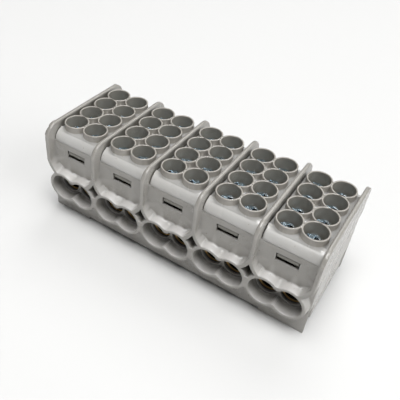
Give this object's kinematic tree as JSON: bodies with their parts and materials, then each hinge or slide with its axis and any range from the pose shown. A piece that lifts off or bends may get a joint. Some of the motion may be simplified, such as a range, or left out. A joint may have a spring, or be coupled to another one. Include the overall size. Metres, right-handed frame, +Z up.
{
  "type": "power distribution block",
  "caption": "Power distribution block: a plastic housing with poles side by side, each with a clip-in cap of screw towers over wire entries into a brass terminal block.",
  "frame": {"origin": "on the ground plane, under the middle of the housing", "axes": "+X along the row of poles from pole 1 to pole 5, +Y from the front wire entries to the back ones, +Z up, along the clamp screws"},
  "size_m": [0.1268, 0.0524, 0.0454],
  "materials": {
    "housing_plastic": "satin warm light grey moulding",
    "cap_plastic": "satin warm light grey moulding",
    "brass": "machined",
    "zinc": "bluish zinc plating"
  },
  "bodies": {
    "block": {"housing": "housing_plastic", "cap_1": "cap_plastic", "cap_2": "cap_plastic", "cap_3": "cap_plastic", "cap_4": "cap_plastic", "cap_5": "cap_plastic", "terminal_block_1": "brass", "terminal_block_2": "brass", "terminal_block_3": "brass", "terminal_block_4": "brass", "terminal_block_5": "brass"},
    "screw_1_1_a": {"clamp_screw_1_1_a": "zinc"},
    "screw_1_1_b": {"clamp_screw_1_1_b": "zinc"},
    "screw_1_2_a": {"clamp_screw_1_2_a": "zinc"},
    "screw_1_2_b": {"clamp_screw_1_2_b": "zinc"},
    "screw_1_3_a": {"clamp_screw_1_3_a": "zinc"},
    "screw_1_3_b": {"clamp_screw_1_3_b": "zinc"},
    "screw_1_4_a": {"clamp_screw_1_4_a": "zinc"},
    "screw_1_4_b": {"clamp_screw_1_4_b": "zinc"},
    "screw_2_1_a": {"clamp_screw_2_1_a": "zinc"},
    "screw_2_1_b": {"clamp_screw_2_1_b": "zinc"},
    "screw_2_2_a": {"clamp_screw_2_2_a": "zinc"},
    "screw_2_2_b": {"clamp_screw_2_2_b": "zinc"},
    "screw_2_3_a": {"clamp_screw_2_3_a": "zinc"},
    "screw_2_3_b": {"clamp_screw_2_3_b": "zinc"},
    "screw_2_4_a": {"clamp_screw_2_4_a": "zinc"},
    "screw_2_4_b": {"clamp_screw_2_4_b": "zinc"},
    "screw_3_1_a": {"clamp_screw_3_1_a": "zinc"},
    "screw_3_1_b": {"clamp_screw_3_1_b": "zinc"},
    "screw_3_2_a": {"clamp_screw_3_2_a": "zinc"},
    "screw_3_2_b": {"clamp_screw_3_2_b": "zinc"},
    "screw_3_3_a": {"clamp_screw_3_3_a": "zinc"},
    "screw_3_3_b": {"clamp_screw_3_3_b": "zinc"},
    "screw_3_4_a": {"clamp_screw_3_4_a": "zinc"},
    "screw_3_4_b": {"clamp_screw_3_4_b": "zinc"},
    "screw_4_1_a": {"clamp_screw_4_1_a": "zinc"},
    "screw_4_1_b": {"clamp_screw_4_1_b": "zinc"},
    "screw_4_2_a": {"clamp_screw_4_2_a": "zinc"},
    "screw_4_2_b": {"clamp_screw_4_2_b": "zinc"},
    "screw_4_3_a": {"clamp_screw_4_3_a": "zinc"},
    "screw_4_3_b": {"clamp_screw_4_3_b": "zinc"},
    "screw_4_4_a": {"clamp_screw_4_4_a": "zinc"},
    "screw_4_4_b": {"clamp_screw_4_4_b": "zinc"},
    "screw_5_1_a": {"clamp_screw_5_1_a": "zinc"},
    "screw_5_1_b": {"clamp_screw_5_1_b": "zinc"},
    "screw_5_2_a": {"clamp_screw_5_2_a": "zinc"},
    "screw_5_2_b": {"clamp_screw_5_2_b": "zinc"},
    "screw_5_3_a": {"clamp_screw_5_3_a": "zinc"},
    "screw_5_3_b": {"clamp_screw_5_3_b": "zinc"},
    "screw_5_4_a": {"clamp_screw_5_4_a": "zinc"},
    "screw_5_4_b": {"clamp_screw_5_4_b": "zinc"}
  },
  "joints": [
    {"name": "screw_1_1_a_travel", "type": "slide", "parent": "block", "child": "screw_1_1_a", "axis": [0, 0, 1], "range_m": [-0.0065, 0]},
    {"name": "screw_1_1_b_travel", "type": "slide", "parent": "block", "child": "screw_1_1_b", "axis": [0, 0, 1], "range_m": [-0.0065, 0]},
    {"name": "screw_1_2_a_travel", "type": "slide", "parent": "block", "child": "screw_1_2_a", "axis": [0, 0, 1], "range_m": [-0.0065, 0]},
    {"name": "screw_1_2_b_travel", "type": "slide", "parent": "block", "child": "screw_1_2_b", "axis": [0, 0, 1], "range_m": [-0.0065, 0]},
    {"name": "screw_1_3_a_travel", "type": "slide", "parent": "block", "child": "screw_1_3_a", "axis": [0, 0, 1], "range_m": [-0.0065, 0]},
    {"name": "screw_1_3_b_travel", "type": "slide", "parent": "block", "child": "screw_1_3_b", "axis": [0, 0, 1], "range_m": [-0.0065, 0]},
    {"name": "screw_1_4_a_travel", "type": "slide", "parent": "block", "child": "screw_1_4_a", "axis": [0, 0, 1], "range_m": [-0.0065, 0]},
    {"name": "screw_1_4_b_travel", "type": "slide", "parent": "block", "child": "screw_1_4_b", "axis": [0, 0, 1], "range_m": [-0.0065, 0]},
    {"name": "screw_2_1_a_travel", "type": "slide", "parent": "block", "child": "screw_2_1_a", "axis": [0, 0, 1], "range_m": [-0.0065, 0]},
    {"name": "screw_2_1_b_travel", "type": "slide", "parent": "block", "child": "screw_2_1_b", "axis": [0, 0, 1], "range_m": [-0.0065, 0]},
    {"name": "screw_2_2_a_travel", "type": "slide", "parent": "block", "child": "screw_2_2_a", "axis": [0, 0, 1], "range_m": [-0.0065, 0]},
    {"name": "screw_2_2_b_travel", "type": "slide", "parent": "block", "child": "screw_2_2_b", "axis": [0, 0, 1], "range_m": [-0.0065, 0]},
    {"name": "screw_2_3_a_travel", "type": "slide", "parent": "block", "child": "screw_2_3_a", "axis": [0, 0, 1], "range_m": [-0.0065, 0]},
    {"name": "screw_2_3_b_travel", "type": "slide", "parent": "block", "child": "screw_2_3_b", "axis": [0, 0, 1], "range_m": [-0.0065, 0]},
    {"name": "screw_2_4_a_travel", "type": "slide", "parent": "block", "child": "screw_2_4_a", "axis": [0, 0, 1], "range_m": [-0.0065, 0]},
    {"name": "screw_2_4_b_travel", "type": "slide", "parent": "block", "child": "screw_2_4_b", "axis": [0, 0, 1], "range_m": [-0.0065, 0]},
    {"name": "screw_3_1_a_travel", "type": "slide", "parent": "block", "child": "screw_3_1_a", "axis": [0, 0, 1], "range_m": [-0.0065, 0]},
    {"name": "screw_3_1_b_travel", "type": "slide", "parent": "block", "child": "screw_3_1_b", "axis": [0, 0, 1], "range_m": [-0.0065, 0]},
    {"name": "screw_3_2_a_travel", "type": "slide", "parent": "block", "child": "screw_3_2_a", "axis": [0, 0, 1], "range_m": [-0.0065, 0]},
    {"name": "screw_3_2_b_travel", "type": "slide", "parent": "block", "child": "screw_3_2_b", "axis": [0, 0, 1], "range_m": [-0.0065, 0]},
    {"name": "screw_3_3_a_travel", "type": "slide", "parent": "block", "child": "screw_3_3_a", "axis": [0, 0, 1], "range_m": [-0.0065, 0]},
    {"name": "screw_3_3_b_travel", "type": "slide", "parent": "block", "child": "screw_3_3_b", "axis": [0, 0, 1], "range_m": [-0.0065, 0]},
    {"name": "screw_3_4_a_travel", "type": "slide", "parent": "block", "child": "screw_3_4_a", "axis": [0, 0, 1], "range_m": [-0.0065, 0]},
    {"name": "screw_3_4_b_travel", "type": "slide", "parent": "block", "child": "screw_3_4_b", "axis": [0, 0, 1], "range_m": [-0.0065, 0]},
    {"name": "screw_4_1_a_travel", "type": "slide", "parent": "block", "child": "screw_4_1_a", "axis": [0, 0, 1], "range_m": [-0.0065, 0]},
    {"name": "screw_4_1_b_travel", "type": "slide", "parent": "block", "child": "screw_4_1_b", "axis": [0, 0, 1], "range_m": [-0.0065, 0]},
    {"name": "screw_4_2_a_travel", "type": "slide", "parent": "block", "child": "screw_4_2_a", "axis": [0, 0, 1], "range_m": [-0.0065, 0]},
    {"name": "screw_4_2_b_travel", "type": "slide", "parent": "block", "child": "screw_4_2_b", "axis": [0, 0, 1], "range_m": [-0.0065, 0]},
    {"name": "screw_4_3_a_travel", "type": "slide", "parent": "block", "child": "screw_4_3_a", "axis": [0, 0, 1], "range_m": [-0.0065, 0]},
    {"name": "screw_4_3_b_travel", "type": "slide", "parent": "block", "child": "screw_4_3_b", "axis": [0, 0, 1], "range_m": [-0.0065, 0]},
    {"name": "screw_4_4_a_travel", "type": "slide", "parent": "block", "child": "screw_4_4_a", "axis": [0, 0, 1], "range_m": [-0.0065, 0]},
    {"name": "screw_4_4_b_travel", "type": "slide", "parent": "block", "child": "screw_4_4_b", "axis": [0, 0, 1], "range_m": [-0.0065, 0]},
    {"name": "screw_5_1_a_travel", "type": "slide", "parent": "block", "child": "screw_5_1_a", "axis": [0, 0, 1], "range_m": [-0.0065, 0]},
    {"name": "screw_5_1_b_travel", "type": "slide", "parent": "block", "child": "screw_5_1_b", "axis": [0, 0, 1], "range_m": [-0.0065, 0]},
    {"name": "screw_5_2_a_travel", "type": "slide", "parent": "block", "child": "screw_5_2_a", "axis": [0, 0, 1], "range_m": [-0.0065, 0]},
    {"name": "screw_5_2_b_travel", "type": "slide", "parent": "block", "child": "screw_5_2_b", "axis": [0, 0, 1], "range_m": [-0.0065, 0]},
    {"name": "screw_5_3_a_travel", "type": "slide", "parent": "block", "child": "screw_5_3_a", "axis": [0, 0, 1], "range_m": [-0.0065, 0]},
    {"name": "screw_5_3_b_travel", "type": "slide", "parent": "block", "child": "screw_5_3_b", "axis": [0, 0, 1], "range_m": [-0.0065, 0]},
    {"name": "screw_5_4_a_travel", "type": "slide", "parent": "block", "child": "screw_5_4_a", "axis": [0, 0, 1], "range_m": [-0.0065, 0]},
    {"name": "screw_5_4_b_travel", "type": "slide", "parent": "block", "child": "screw_5_4_b", "axis": [0, 0, 1], "range_m": [-0.0065, 0]}
  ]
}
